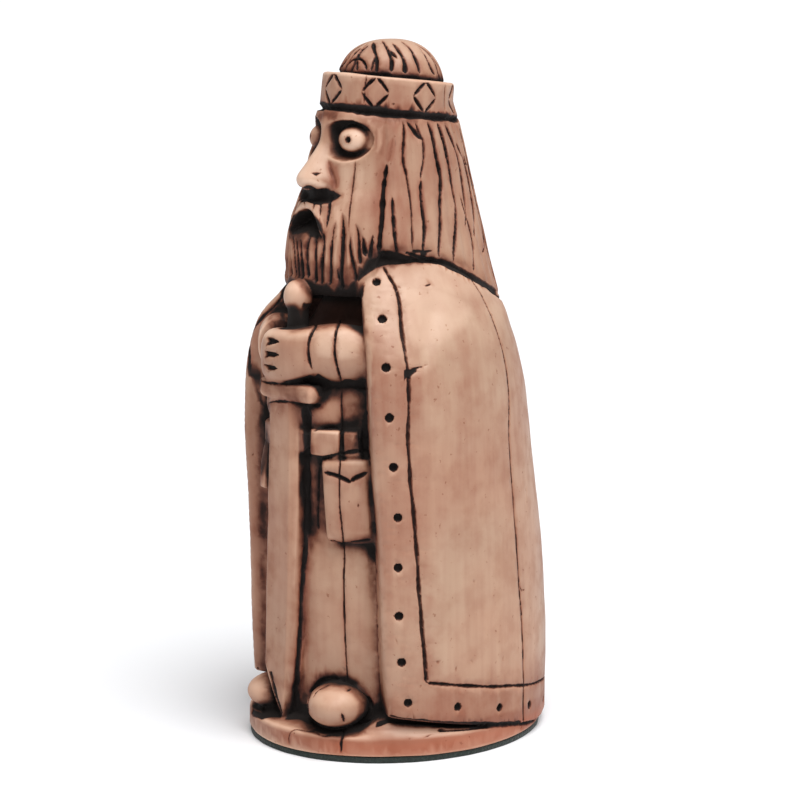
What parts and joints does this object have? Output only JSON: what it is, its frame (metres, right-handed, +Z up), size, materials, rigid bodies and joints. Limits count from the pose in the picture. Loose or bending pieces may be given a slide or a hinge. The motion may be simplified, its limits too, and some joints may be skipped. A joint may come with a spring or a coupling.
{
  "type": "medieval chess piece",
  "caption": "Standing chess piece of a bearded, cloaked guard with a sword held point down, crown band and oval base with a felt underside.",
  "frame": {"origin": "middle of the felt's underside, where the piece stands", "axes": "+Z up, the figure faces -Y, its left side is +X"},
  "size_m": [0.0355, 0.0405, 0.09],
  "materials": {
    "resin": "satin cast resin in an old ivory tone, with a dark wash rubbed into every cut line and hollow",
    "felt": "dark green-black baize"
  },
  "bodies": {
    "root": {"figure": "resin", "felt_pad": "felt"}
  },
  "joints": []
}
